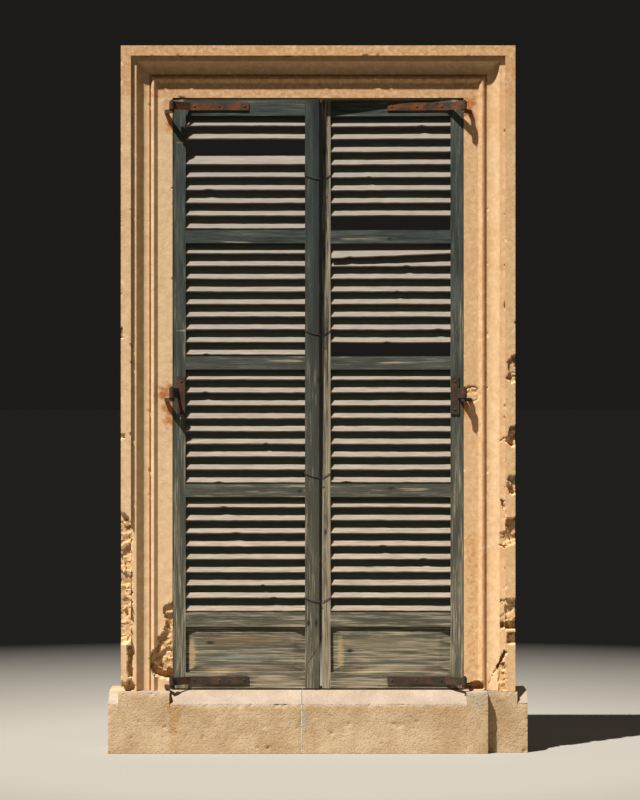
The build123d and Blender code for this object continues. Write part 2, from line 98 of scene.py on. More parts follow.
def straight(start, end, spacing):
    """Points from start up to, but not with, end, at most `spacing` apart."""
    count = max(1, math.ceil(math.dist(start, end) / spacing))
    steps = [i / count for i in range(count)]
    return [tuple(a + (b - a) * t for a, b in zip(start, end)) for t in steps]


def tangent_arc(start, heading, end, count):
    """Points from start to end, with both, on the arc that leaves start at the angle heading."""
    dx, dy = end[0] - start[0], end[1] - start[1]
    half_turn = math.atan2(dy, dx) - heading
    points = []
    for step in range(count + 1):
        turn = half_turn * step / count
        length = math.hypot(dx, dy) * math.sin(turn) / math.sin(half_turn)
        x = start[0] + length * math.cos(heading + turn)
        points.append((x, start[1] + length * math.sin(heading + turn)))
    return points


def moulding_line():
    """The moulding in plan, from the opening outwards, as (distance out, depth)."""
    line = straight((0, 0), (fascia_width, 0), stone_grid)
    line += straight((fascia_width, 0), (bead_ridge, -bead_out), stone_grid)
    line += tangent_arc((bead_ridge, -bead_out), 0, (bead_end, -bead_lip), bead_steps)
    line += straight((bead_end, 0), (cove_start, 0), stone_grid) + [(cove_start, 0)]
    cove_foot, cove_top = (cove_start, -cove_low_out), (cove_end, -cove_high_out)
    line += tangent_arc(cove_foot, cove_dip, cove_top, cove_steps)
    step_start, step_stop = (cove_end + stone_grid, -cove_high_out), (step_end, -cove_high_out)
    line += straight(step_start, step_stop, stone_grid) + [step_stop]
    line += straight((step_end, -fillet_out), (surround_width, -fillet_out), stone_grid)
    return line + [(surround_width, -fillet_out)]


def ragged(points, size, seed):
    """Random heights, about -1 to 1, that change over `size` metres, one for each point."""
    shift = Vector((seed * 7.3, seed * 3.1, seed * 5.7))
    return np.array([noise.fractal(Vector(p) / size + shift, 0.9, 2.1, 3) for p in points])


def fractured(points, size, seed):
    """Tilted flat facets about `size` across, as stone breaks: a height for each point."""
    heights = []
    for point in points:
        place = Vector(point) / size + Vector((seed, seed, seed))
        core = noise.voronoi(place)[1][0]
        tilt = Vector([noise.noise(core * 3.7 + Vector((0, 0, axis * 40))) for axis in (1, 2, 3)])
        heights.append(noise.noise(core * 5.3) * 1.6 + tilt.dot(place - core))
    return np.array(heights)


def inside_distance(out, up, outline):
    """How far each point lies inside a closed outline; below 0 outside it."""
    distance = np.full(out.shape, np.inf)
    inside = np.zeros(out.shape, bool)
    for (ax, az), (bx, bz) in zip(outline, outline[1:] + outline[:1]):
        length = (bx - ax) ** 2 + (bz - az) ** 2
        share = np.clip(((out - ax) * (bx - ax) + (up - az) * (bz - az)) / length, 0, 1)
        gap = np.hypot(out - ax - share * (bx - ax), up - az - share * (bz - az))
        distance = np.minimum(distance, gap)
        crossing = ax + (up - az) * (bx - ax) / (bz - az + 1e-12)
        inside ^= ((az > up) != (bz > up)) & (out < crossing)
    return np.where(inside, distance, -distance)


front_limit = 30 * mm
stain_grain = 30 * mm
stain_wander = 22
stain_fade = 18
stain_margin = 30


def patch(points, low, high, seed):
    """How strongly each point lies in a rectangle of the front, in mm, with ragged edges."""
    x, z = points[:, 0] / mm, points[:, 2] / mm
    inside = np.minimum(np.minimum(x - low[0], high[0] - x), np.minimum(z - low[1], high[1] - z))
    shown = np.zeros(len(points))
    near = (inside > -stain_margin) & (points[:, 1] < front_limit)
    shown[near] = inside[near] + stain_wander * ragged(points[near], stain_grain, seed)
    return np.clip(shown / stain_fade, 0, 1)


# Stone that has burst off, in millimetres: an outline as (distance out from the opening,
# height above the sill), the depth of the floor of the break, and the width of its walls.
left_breaks = [
    (
        [(219, 190), (176, 196), (160, 240), (165, 330), (154, 420), (163, 560), (157, 640),
         (172, 700), (190, 733), (219, 738)],
        -33, 8,
    ),
    ([(158, 190), (158, 56), (181, 56), (184, 190)], -24, 5),
    ([(219, 1030), (193, 1036), (195, 1056), (219, 1062)], -36, 4),
    ([(219, 1440), (198, 1448), (201, 1492), (219, 1500)], -42, 4),
    ([(219, -4), (150, -4), (152, 42), (176, 58), (188, 30), (219, 48)], -20, 8),
    (
        [(-20, 26), (48, 40), (92, 68), (97, 110), (99, 152), (82, 164), (66, 190), (71, 219),
         (50, 228), (41, 254), (34, 288), (42, 316), (38, 353), (20, 361), (-20, 372)],
        17, 8,
    ),
    (
        [(-20, 30), (44, 42), (90, 66), (96, 112), (84, 132), (60, 104), (34, 84), (10, 96),
         (-20, 80)],
        40, 9,
    ),
]
right_breaks = [
    (
        [(219, 1385), (196, 1378), (174, 1350), (182, 1310), (172, 1285), (190, 1262),
         (219, 1270)],
        -40, 5,
    ),
    (
        [(219, 1092), (186, 1086), (176, 1052), (140, 1030), (139, 1014), (170, 1020),
         (190, 1000), (219, 1012)],
        -34, 4,
    ),
    ([(219, 890), (180, 884), (172, 850), (184, 812), (219, 800)], -36, 6),
    ([(148, 788), (166, 784), (168, 744), (152, 748)], -24, 4),
    (
        [(219, 716), (172, 712), (165, 662), (128, 650), (131, 598), (160, 584), (200, 600),
         (219, 622)],
        -34, 7,
    ),
    ([(219, 384), (150, 380), (132, 362), (130, 300), (140, 262), (180, 252), (219, 256)], -36, 6),
    ([(146, 284), (219, 292), (219, 256), (180, 252), (146, 258)], -14, 4),
    ([(219, 246), (176, 242), (170, 200), (190, 190), (219, 196)], -32, 5),
    (
        [(88, -4), (92, 24), (112, 64), (142, 112), (162, 122), (174, 96), (172, 40), (182, -4)],
        -24, 6,
    ),
    ([(8, -4), (88, -4), (84, 34), (50, 44), (8, 30)], 34, 8),
]
# Open cracks, as narrow outlines of the same kind.
right_cracks = [
    ([(92, 16), (101, 8), (174, 158), (164, 170), (130, 98)], -10, 3),
    ([(150, 249), (219, 252), (219, 259), (150, 256)], -16, 3),
]
# The cracked mortar plug round the root of the right middle pintle: distance out, height above
# the sill, and radius.
right_socket = (33, 1219, 31)

arrises = (0, cove_start, step_end, surround_width)
dressing_wave = 90 * mm
dressing_depth = 0.4 * mm
chip_size = 34 * mm
chip_depth = 22 * mm
chip_reach = 3 * mm
break_ripple = 19 * mm
most_ripple = 7
coarse_facet, coarse_relief = 31 * mm, 8
fine_facet, fine_relief = 12 * mm, 2.6


def worn_depth(points, out, breaks, seed):
    """Depths after wear and breakage, and how raw the stone is at each point."""
    depth = points[:, 1].copy()
    up = points[:, 2] - sill_top
    front = depth < front_limit
    depth += front * dressing_depth * (1 + ragged(points, dressing_wave, seed))
    chip = np.clip(ragged(points, chip_size, seed + 1) - 0.5, 0, 1)
    for arris in arrises:
        near = np.exp(-np.abs(out - arris) / chip_reach)
        depth += front * near * chip * chip_depth
    raw = front * np.clip(chip * 1.5, 0, 1) * 0.6
    ripple = ragged(points, break_ripple, seed + 2)
    for outline, floor, wall in breaks:
        outline = [(x * mm, z * mm) for x, z in outline]
        inside = inside_distance(out, up, outline) + min(wall, most_ripple) * mm * ripple
        hit = inside > 0
        share = np.clip(inside[hit] / (wall * mm), 0, 1)
        facets = coarse_relief * fractured(points[hit], coarse_facet, seed)
        facets += fine_relief * fractured(points[hit], fine_facet, seed + 9)
        ground = -fillet_out + (floor * mm + fillet_out) * share + facets * mm * share
        deeper = np.maximum(ground, depth[hit])
        raw[hit] = np.maximum(raw[hit], (ground > depth[hit]) * share)
        depth[hit] = deeper
    return depth, raw


sharp_edge = math.radians(28)


def stone_object(name, grid, masks):
    """A closed stone from a grid of points: rows along its length, columns round its section."""
    rows, columns = grid.shape[:2]
    faces = []
    for row in range(rows - 1):
        for column in range(columns):
            beside = (column + 1) % columns
            here, above = row * columns, (row + 1) * columns
            faces.append((here + column, here + beside, above + beside, above + column))
    faces.append(tuple(range(columns))[::-1])
    faces.append(tuple((rows - 1) * columns + column for column in range(columns)))
    mesh = bpy.data.meshes.new(name)
    mesh.from_pydata(grid.reshape(-1, 3).tolist(), [], faces)
    mesh.validate()
    for mask, values in masks.items():
        layer = mesh.attributes.new(mask, "FLOAT", "POINT")
        layer.data.foreach_set("value", values.astype(np.float32))
    mesh.shade_smooth()
    mesh.set_sharp_from_angle(angle=sharp_edge)
    made = bpy.data.objects.new(name, mesh)
    bpy.context.scene.collection.objects.link(made)
    return made


# The jamb in plan, as (distance out, depth): front, outer side, back, and the stop for the leaf.
side_start, back_corner = (surround_width, -30 * mm), (surround_width, stone_depth)
side_line = moulding_line() + straight(side_start, back_corner, 30 * mm)
jamb_line = side_line + straight(back_corner, (-stop_width, stone_depth), 40 * mm)
jamb_line += straight((-stop_width, stone_depth), (-stop_width, stop_front), 30 * mm)
jamb_line += [(-stop_width, stop_front)] + straight((0, stop_front), (0, 5 * mm), 10 * mm)


def lime_paint(points, out, base, patches, seed):
    """Ochre left from an older limewash: along the outer edge, in the quirk, and in patches."""
    in_cove = (out > cove_start) & (out < step_end)
    in_quirk = (out > bead_end - 1 * mm) & (out < cove_start + 1 * mm) & (points[:, 1] < 1 * mm)
    outer = 0.8 * np.exp(-(surround_width - out) / (4 * mm)) * (points[:, 1] < 0)
    ochre = np.maximum(np.maximum(outer, in_quirk * 0.35), np.where(in_cove, 0.4, 1.0) * base)
    for low, high in patches:
        ochre = np.maximum(ochre, patch(points, low, high, seed))
    return ochre


def mortar_ring(points, out, socket):
    """How near each point is to the crack round a plug of mortar, and how crumbled within it."""
    ring_out, ring_up, radius = (value * mm for value in socket)
    reach = np.hypot(out - ring_out, points[:, 2] - sill_top - ring_up)
    on_front = points[:, 1] < 20 * mm
    crack_width = 3.2 * mm
    ridge = np.exp(-((reach - radius) / crack_width) ** 2)
    ridge = ridge * (0.7 + 0.8 * ragged(points, 18 * mm, 3))
    crumbled = np.clip(0.45 + ragged(points, 14 * mm, 5), 0, 1) * (reach < radius - 3 * mm)
    return np.clip(ridge, 0, 1) * on_front, crumbled * on_front


def build_jamb(name, side, seed, breaks, base, stains, socket=None):
    """Each point of the plan goes up the post; `stains` gives patches for each kind of stain."""
    heights = np.linspace(sill_top, head_level, 1 + round((head_level - sill_top) / stone_grid))
    out = np.array([point[0] for point in jamb_line])
    grid = np.zeros((len(heights), len(out), 3))
    grid[:, :, 0] = side * (half_opening + out)
    grid[:, :, 1] = np.array([point[1] for point in jamb_line])
    grid[:, :, 2] = heights[:, None]
    points = grid.reshape(-1, 3)
    out_all = np.tile(out, len(heights))
    points[:, 1], raw = worn_depth(points, out_all, breaks, seed)
    masks = {"raw": raw, "ochre": lime_paint(points, out_all, base, stains["ochre"], seed)}
    for mask in ("rust", "white"):
        masks[mask] = np.zeros(len(points))
        for low, high in stains[mask]:
            masks[mask] = np.maximum(masks[mask], patch(points, low, high, seed + 3))
    if socket:
        ridge, crumbled = mortar_ring(points, out_all, socket)
        points[:, 1] += (8 * ridge + 5 * crumbled) * mm
        masks["raw"] = np.maximum(masks["raw"], np.maximum(ridge, crumbled))
    return stone_object(name, grid, masks)


def build_head(name, seed, base):
    """Each line of the moulding goes up one side, across, and down the other."""
    head_line = side_line + straight(back_corner, (0, stone_depth), 40 * mm)
    head_line += straight((0, stone_depth), (0, 5 * mm), 20 * mm)
    out = np.array([point[0] for point in head_line])
    up_steps, across_steps = 36, 280
    leg = np.linspace(0, 1, up_steps + 1)
    stations = [("up", t) for t in leg[:-1]]
    stations += [("across", t) for t in np.linspace(-1, 1, across_steps + 1)]
    stations += [("down", t) for t in leg[1:]]
    grid = np.zeros((len(stations), len(out), 3))
    reach = half_opening + out
    for row, (part, t) in enumerate(stations):
        if part == "up":
            x, z = -reach, out * t
        elif part == "across":
            x, z = reach * t, out
        else:
            x, z = reach, out * (1 - t)
        grid[row, :, 0] = x
        grid[row, :, 1] = np.array([point[1] for point in head_line])
        grid[row, :, 2] = head_level + z
    points = grid.reshape(-1, 3)
    out_all = np.tile(out, len(stations))
    points[:, 1], raw = worn_depth(points, out_all, [], seed)
    masks = {"raw": raw, "ochre": lime_paint(points, out_all, base, [], seed)}
    return stone_object(name, grid, masks)


# Stains on the front, in mm: the low and the high corner of each. Rust runs from the pintles,
# ochre is left where the limewash is thin, and white is a spot of plaster.
left_stains = {
    "ochre": [((-644, 2530), (-560, 2690))],
    "rust": [
        ((-668, 1436), (-570, 1516)), ((-642, 1330), (-560, 1470)), ((-618, 2556), (-570, 2626)),
    ],
    "white": [],
}
right_stains = {
    "ochre": [((603, 560), (662, 900)), ((606, 300), (664, 540)), ((612, 60), (650, 220))],
    "rust": [((565, 1372), (626, 1440)), ((590, 2600), (650, 2700))],
    "white": [((670, 818), (700, 848))],
}
# How much ochre the limewash lets through: none on the left, some on the right, most above.
left_base, right_base, head_base = 0.0, 0.55, 0.95
right_damage = right_breaks + right_cracks
stones = {
    "jamb_left": build_jamb("limestone_jamb_left", -1, 1, left_breaks, left_base, left_stains),
    "jamb_right": build_jamb(
        "limestone_jamb_right", 1, 7, right_damage, right_base, right_stains, right_socket,
    ),
    "head": build_head("limestone_head", 13, head_base),
}


def linear(code):
    """A hex colour such as "#d8b48c" as linear light."""
    values = [int(code[i:i + 2], 16) / 255 for i in (1, 3, 5)]
    return [v / 12.92 if v <= 0.04045 else ((v + 0.055) / 1.055) ** 2.4 for v in values] + [1]


def add(tree, kind, inputs=(), out=0, **settings):
    """Adds a node with its settings, sets or links its inputs, and gives one output. The inputs
    go by name or number, or stand in the node's own order. A hex code is turned to linear."""
    made = tree.nodes.new("ShaderNode" + kind)
    for name, value in settings.items():
        setattr(made, name, value)
    pairs = inputs.items() if isinstance(inputs, dict) else enumerate(inputs)
    for key, value in pairs:
        if isinstance(value, bpy.types.NodeSocket):
            tree.links.new(value, made.inputs[key])
        else:
            made.inputs[key].default_value = linear(value) if isinstance(value, str) else value
    return made.outputs[out] if made.outputs else made


# A MapRange takes a value, the two ends that it is read between, and the results at those ends,
# 0 and 1 if none are given. A Mix of colours takes the share of the second colour as input 0,
# and the two colours as inputs 6 and 7.
of_colours = {"data_type": "RGBA", "out": 2}


def new_material(name):
    """A material with an empty tree, and the place of each point in metres."""
    material = bpy.data.materials.new(name)
    material.use_nodes = True
    tree = material.node_tree
    tree.nodes.clear()
    return material, tree, add(tree, "TexCoord", out=3)


def close_material(tree, colour, roughness, ior, height, depth):
    """A dull surface with relief: `height` from 0 to 1 stands for `depth` metres."""
    bump = add(tree, "Bump", {"Strength": 1.0, "Distance": depth, "Height": height})
    look = {"Base Color": colour, "Roughness": roughness, "IOR": ior, "Normal": bump}
    shader = add(tree, "BsdfPrincipled", look)
    add(tree, "OutputMaterial", {"Surface": shader})


def limewashed_limestone():
    """Cream limewash, chalky and matt, stained ochre; raw yellow stone where it has burst. The
    stone's grit is finer than the render shows, so it is drawn 3 mm wide."""
    material, tree, place = new_material("limewashed_limestone")
    blotch = add(tree, "TexNoise", {
        "Vector": place, "Scale": 1 / (300 * mm), "Detail": 5, "Roughness": 0.65,
    })
    mottle = add(tree, "TexNoise", {
        "Vector": place, "Scale": 1 / (30 * mm), "Detail": 5, "Roughness": 0.65,
    })
    grit = add(tree, "TexNoise", {"Vector": place, "Scale": 1 / (3 * mm), "Detail": 3})
    peel = add(tree, "TexNoise", {
        "Vector": place, "Scale": 1 / (18 * mm), "Detail": 6, "Roughness": 0.7,
    })
    tone = add(tree, "MapRange", [mottle, 0.35, 0.65])
    cream = add(tree, "Mix", {0: tone, 6: "#caa67b", 7: "#ddbd92"}, **of_colours)
    blotchy = add(tree, "MapRange", [blotch, 0.54, 0.74, 0, 0.5])
    stained = add(tree, "Mix", {0: blotchy, 6: cream, 7: "#c39461"}, **of_colours)
    ochre = add(tree, "Attribute", attribute_name="ochre", out=2)
    flaking = add(tree, "MapRange", [peel, 0.38, 0.62])
    left_on = add(tree, "Math", [ochre, flaking], operation="MULTIPLY")
    painted = add(tree, "Mix", {0: left_on, 6: stained, 7: "#be8648"}, **of_colours)
    white = add(tree, "Attribute", attribute_name="white", out=2)
    whitened = add(tree, "Mix", {0: white, 6: painted, 7: "#e4d0b8"}, **of_colours)
    rust = add(tree, "Attribute", attribute_name="rust", out=2)
    porous = add(tree, "MapRange", [peel, 0.26, 0.54, 0, 0.95])
    soaked = add(tree, "Math", [rust, porous], operation="MULTIPLY")
    rusty = add(tree, "Mix", {0: soaked, 6: whitened, 7: "#ac5f1a"}, **of_colours)
    raw = add(tree, "Attribute", attribute_name="raw", out=2)
    fresh = add(tree, "MapRange", [mottle, 0.3, 0.7])
    broken = add(tree, "Mix", {0: fresh, 6: "#ad8450", 7: "#e0b888"}, **of_colours)
    colour = add(tree, "Mix", {0: raw, 6: rusty, 7: broken}, **of_colours)
    relief = add(tree, "Math", [grit, mottle], operation="MULTIPLY")
    close_material(tree, colour, 0.9, 1.57, relief, 2.5 * mm)
    return material


stone_finish = limewashed_limestone()
for node, stone in stones.items():
    stone.data.materials.append(stone_finish)
    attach(stone, "frame")
    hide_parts(node)

# Sill blocks. Three blocks of harder ochre limestone, the faces dressed with a bush hammer,
# the tops sloped to shed water between square seats for the posts, and bedded in lime mortar.
weathering_drop = 49 * mm
threshold_front = 5 * mm
seat_margin = 8 * mm
seat = (half_opening + seat_margin, half_opening + surround_width + seat_margin)
sill_grid = 6 * mm
face_steps = 34
slope_steps = 16


def sill_ring(out, seated):
    """The block's section as (depth, height): up the front, over the top, down the back."""
    brow = sill_top if seated else sill_top - weathering_drop
    ring = [(-out, brow * step / face_steps) for step in range(face_steps)]
    run = out - threshold_front
    for step in range(slope_steps + 1):
        height = brow + (sill_top - brow) * step / slope_steps
        ring.append((-out + run * step / slope_steps, height))
    ring += straight((0, sill_top), (stone_depth, sill_top), 45 * mm)
    ring += straight((stone_depth, sill_top), (stone_depth, 0), 60 * mm)
    return ring + straight((stone_depth, 0), (-out, 0), 60 * mm)


def sill_stations(x0, x1):
    """Places along the block, each with whether it lies under a post; two at a seat's edge."""
    edges = [edge for edge in (-seat[1], -seat[0], seat[0], seat[1]) if x0 < edge < x1]
    stations = []
    for start, end in zip([x0] + edges, edges + [x1]):
        seated = seat[0] < abs((start + end) / 2) < seat[1]
        for step in straight((start, 0), (end, 0), sill_grid) + [(end, 0)]:
            stations.append((step[0], seated))
    return stations


def build_sill(name, node, seed):
    """The section goes along the block; the hammer's hollows are pushed into its face."""
    low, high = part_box(node)
    stations = sill_stations(low.x, high.x)
    rings = {seated: sill_ring(-low.y, seated) for seated in (True, False)}
    grid = np.array([[(x, y, z) for y, z in rings[seated]] for x, seated in stations])
    points = grid.reshape(-1, 3)
    brows = [sill_top if seated else sill_top - weathering_drop for x, seated in stations]
    brow = np.repeat(brows, grid.shape[1])
    front = points[:, 1] < low.y + 1 * mm
    top = (points[:, 2] >= brow - 1 * mm) & (points[:, 1] < 0)
    end = np.minimum(points[:, 0] - low.x, high.x - points[:, 0])
    coarse = ragged(points, 60 * mm, seed)
    fine = ragged(points, 16 * mm, seed + 1)
    hollow = np.clip(ragged(points, 45 * mm, seed + 2) - 0.55, 0, 1)
    arris = np.exp(-(brow - points[:, 2]) / (7 * mm)) + 0.7 * np.exp(-end / (5 * mm))
    arris_loss = arris * (2.0 + 4.5 * np.clip(fine, 0, 1))
    push = 1.4 + 0.9 * coarse + 0.7 * fine + 12 * hollow + arris_loss
    points[:, 1] += front * np.clip(push, 0.2, 12) * mm
    sunk = np.clip(1.2 + coarse + 0.6 * fine, 0.2, 4)
    points[:, 2] -= top * sunk * mm * (points[:, 1] > low.y + 2 * mm)
    grey = patch(points, (-76, 100), (-34, 200), seed)
    grey += patch(points, (600, 196), (698, 254), seed)
    rust = patch(points, (-620, 84), (-560, 210), seed) * 0.65
    rust += patch(points, (-612, 0), (-566, 120), seed) * 0.35
    masks = {"pale": top.astype(float), "grey": np.clip(grey, 0, 1), "rust": rust}
    return stone_object(name, grid, masks)


def tooled_limestone():
    """Coarse ochre stone pitted by the bush hammer; the sloped tops are washed pale. Its grit is
    drawn 4 mm wide, coarser than it is, so that it shows."""
    material, tree, place = new_material("tooled_limestone")
    soft = add(tree, "TexNoise", {
        "Vector": place, "Scale": 1 / (140 * mm), "Detail": 5, "Roughness": 0.65,
    })
    pits = add(tree, "TexNoise", {
        "Vector": place, "Scale": 1 / (9 * mm), "Detail": 4, "Roughness": 0.6,
    })
    grit = add(tree, "TexNoise", {
        "Vector": place, "Scale": 1 / (4 * mm), "Detail": 4, "Roughness": 0.7,
    })
    tone = add(tree, "MapRange", [soft, 0.35, 0.65])
    face = add(tree, "Mix", {0: tone, 6: "#ab8d66", 7: "#c7ad89"}, **of_colours)
    pitted = add(tree, "MapRange", [pits, 0.56, 0.72, 0, 0.4])
    speckled = add(tree, "Mix", {0: pitted, 6: face, 7: "#97784f"}, **of_colours)
    top = add(tree, "Mix", {0: tone, 6: "#968371", 7: "#aa9a88"}, **of_colours)
    pale = add(tree, "Attribute", attribute_name="pale", out=2)
    topped = add(tree, "Mix", {0: pale, 6: speckled, 7: top}, **of_colours)
    grey = add(tree, "Attribute", attribute_name="grey", out=2)
    crusted = add(tree, "MapRange", [pits, 0.3, 0.55])
    left_on = add(tree, "Math", [grey, crusted], operation="MULTIPLY")
    mortared = add(tree, "Mix", {0: left_on, 6: topped, 7: "#a1967f"}, **of_colours)
    rust = add(tree, "Attribute", attribute_name="rust", out=2)
    porous = add(tree, "MapRange", [pits, 0.25, 0.6])
    soaked = add(tree, "Math", [rust, porous], operation="MULTIPLY")
    colour = add(tree, "Mix", {0: soaked, 6: mortared, 7: "#a87434"}, **of_colours)
    dimpled = add(tree, "MapRange", [pits, 0.66, 0.5, 0, 0.7])
    relief = add(tree, "Math", [dimpled, grit], operation="ADD")
    close_material(tree, colour, 0.92, 1.57, relief, 1.6 * mm)
    return material


sill_finish = tooled_limestone()
sill_nodes = ("sill_block_left", "sill_block_middle", "sill_block_right")
for seed, node in enumerate(sill_nodes, start=21):
    block = build_sill(f"tooled_{node}", node, seed)
    block.data.materials.append(sill_finish)
    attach(block, "frame")
    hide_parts(node)


joint_steps = 42
mortar_depth = 12 * mm
mortar_crown = 2.5 * mm


def joint_mortar(name, joint_x, width, out, seed):
    """Lime mortar in an upright joint, smeared a little over both arrises."""
    rows = []
    for step in range(joint_steps + 1):
        z = 2 * mm + (sill_top - weathering_drop - 6 * mm) * step / joint_steps
        x = joint_x + noise.noise(Vector((z / (20 * mm), seed, 0))) * 1.2 * mm
        half = width / 2 + (1.6 + 1.8 * noise.noise(Vector((z / (13 * mm), seed, 4)))) * mm
        swell = 0.5 * mm * noise.noise(Vector((z / (9 * mm), seed, 8)))
        face = -out + 1.2 * mm + swell
        edge, back = face + mortar_crown, -out + mortar_depth
        rows.append([(x - half, edge, z), (x, face, z), (x + half, edge, z), (x, back, z)])
    return stone_object(name, np.array(rows), {})


def lime_mortar():
    """Pale sandy lime mortar, trowelled and dusty. The sand is drawn 4 mm wide, coarser than it
    is, so that it shows."""
    material, tree, place = new_material("lime_mortar")
    sand = add(tree, "TexNoise", {"Vector": place, "Scale": 1 / (4 * mm), "Detail": 4})
    colour = add(tree, "Mix", {0: sand, 6: "#b5a48c", 7: "#ddd0bb"}, **of_colours)
    close_material(tree, colour, 0.95, 1.55, sand, 0.8 * mm)
    return material


mortar_finish = lime_mortar()
sill_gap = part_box("sill_block_middle")[0].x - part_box("sill_block_left")[1].x
for seed, name, out in ((6, "middle", 100 * mm), (5, "right", 58 * mm)):
    joint_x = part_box(f"sill_block_{name}")[0].x - sill_gap / 2
    mortar = joint_mortar(f"joint_mortar_{name}", joint_x, sill_gap, out, seed)
    mortar.data.materials.append(mortar_finish)
    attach(mortar, "frame")


# Leaf timbers. Stiles, rails and raised panels of pine, planed, tenoned together and painted
# dark green. Sun and rain have bleached the paint and worn it off along the grain, most near
# the foot. Knots are dark eyes in the wood; the closing stile is bare along its inner edge.
leaf_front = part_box("left_hinge_stile")[0].y
face_depth = 36 * mm
panel_face_depth = 22 * mm
level, upright = 0, 2


def spot(tree, place, x, z, wide, high, tilt=0):
    """1 at a place on the front, 0 outside an oval round it; sizes in mm, tilt in degrees."""
    local = add(tree, "Mapping", {
        "Vector": place, "Location": (x * mm, 0, z * mm), "Rotation": (0, math.radians(tilt), 0),
        "Scale": (wide * mm, 1000, high * mm),
    }, vector_type="TEXTURE")
    reach = add(tree, "VectorMath", [local], out=1, operation="LENGTH")
    return add(tree, "MapRange", [reach, 1.0, 0.35])


def wood_grain(tree, place, sizes, roughness, shift=(0, 0, 0)):
    """Noise drawn out along the grain; `sizes` are the lengths of its features on each axis."""
    stretch = [1 / size for size in sizes]
    along = add(tree, "Mapping", {"Vector": place, "Scale": stretch, "Location": shift})
    return add(tree, "TexNoise", {
        "Vector": along, "Scale": 1, "Detail": 6, "Roughness": roughness,
    })


def painted_pine(
    name, grain_axis, wear_gain, knots=(), worn_spots=(), stains=(),
    greens=("#161d1b", "#485049"), depth=face_depth,
):
    """Matt green oil paint gone chalky, with grey wood showing where it has flaked. The fibres
    are drawn 3.5 mm wide, coarser than they are, so that they show. Worn spots and stains are on
    the street side only, to `depth` behind the leaf's face. Some pale stains are partly painted
    light, and darker `greens` can be partly painted shade."""
    material, tree, place = new_material(name)
    fibres, streaks = [3.5 * mm, 30 * mm, 3.5 * mm], [16 * mm, 50 * mm, 16 * mm]
    fibres[grain_axis], streaks[grain_axis] = 150 * mm, 220 * mm
    grain = wood_grain(tree, place, fibres, 0.65)
    streak = wood_grain(tree, place, streaks, 0.7, (3.1, 0.4, 1.7))
    height = add(tree, "SeparateXYZ", [place], out=2)
    inward = add(tree, "SeparateXYZ", [place], out=1)
    behind = leaf_front + depth
    street_side = add(tree, "MapRange", [inward, behind + 0.5 * mm, behind - 0.5 * mm])
    low = add(tree, "MapRange", [height, 2.1, 0.35])
    wear = add(tree, "Math", [grain, streak], operation="ADD")
    sunk = add(tree, "Math", [low, 0.2, wear_gain], operation="MULTIPLY_ADD")
    wear = add(tree, "Math", [wear, sunk], operation="ADD")
    for mark in worn_spots:
        worn = spot(tree, place, *mark)
        worn = add(tree, "Math", [worn, street_side], operation="MULTIPLY")
        wear = add(tree, "Math", [worn, 0.34, wear], operation="MULTIPLY_ADD")
    bare = add(tree, "MapRange", [wear, 1.1, 1.32])
    chalky = add(tree, "MapRange", [streak, 0.36, 0.64])
    green = add(tree, "Mix", {0: chalky, 6: greens[0], 7: greens[1]}, **of_colours)
    dusty = add(tree, "Math", [low, 0.6], operation="MULTIPLY")
    paint = add(tree, "Mix", {0: dusty, 6: green, 7: "#59533f"}, **of_colours)
    tone = add(tree, "MapRange", [grain, 0.35, 0.65])
    wood = add(tree, "Mix", {0: tone, 6: "#564d3a", 7: "#aa9d82"}, **of_colours)
    colour = add(tree, "Mix", {0: bare, 6: paint, 7: wood}, **of_colours)
    patchy = add(tree, "MapRange", [streak, 0.3, 0.55, 0, 0.85])
    patchy = add(tree, "Math", [patchy, street_side], operation="MULTIPLY")
    for shade, mark in stains:
        share = add(tree, "Math", [spot(tree, place, *mark), patchy], operation="MULTIPLY")
        colour = add(tree, "Mix", {0: share, 6: colour, 7: shade}, **of_colours)
    for mark in knots:
        share = spot(tree, place, *mark)
        colour = add(tree, "Mix", {0: share, 6: colour, 7: "#1d1711"}, **of_colours)
    close_material(tree, colour, 0.75, 1.48, grain, 1.4 * mm)
    return material


# Marks on the timber, in mm: x, z, half width, half height, and where it leans its tilt.
stile_worn = [(-566, 2506, 26, 5), (-566, 1731, 26, 5), (-575, 2680, 30, 9), (560, 2680, 30, 9)]
foot_split = (-22, 392, 58, 2.6, -59)
rail_knots = [(-75, 1070, 17, 9), (296, 2110, 16, 9), (300, 1082, 20, 8)]
rail_worn = [
    (-180, 282, 130, 30), (175, 280, 150, 30), (-200, 1628, 150, 6), (-120, 1605, 110, 7),
    (320, 1600, 120, 6), (-120, 512, 120, 9), (200, 490, 90, 6), (390, 1078, 90, 10),
    (-330, 2096, 90, 5), (160, 2110, 90, 5),
]
panel_knots = [(131, 411, 20, 11), (-445, 444, 24, 9)]
panel_worn = [
    (-313, 324, 260, 20), (320, 322, 270, 22), (-522, 388, 14, 80), (96, 392, 14, 90),
    (300, 440, 240, 16),
]
# Stains on the panels. The last two, pale along the foot bevels, are partly bare sun-bleached wood
# and partly painted light, brightening bevels that face down, away from the light.
panel_stains_and_painted_light = [
    ("#6a5837", (-330, 452, 230, 32)), ("#7f877e", (-320, 384, 190, 13)),
    ("#665c46", (250, 448, 240, 30)), ("#39423f", (320, 362, 230, 9)),
    ("#39423f", (-330, 356, 230, 9)), ("#a08558", (-518, 392, 17, 100)),
    ("#968257", (90, 392, 17, 100)), ("#e2cfb4", (-313, 336, 260, 20)),
    ("#e2cfb4", (313, 336, 260, 20)),
]
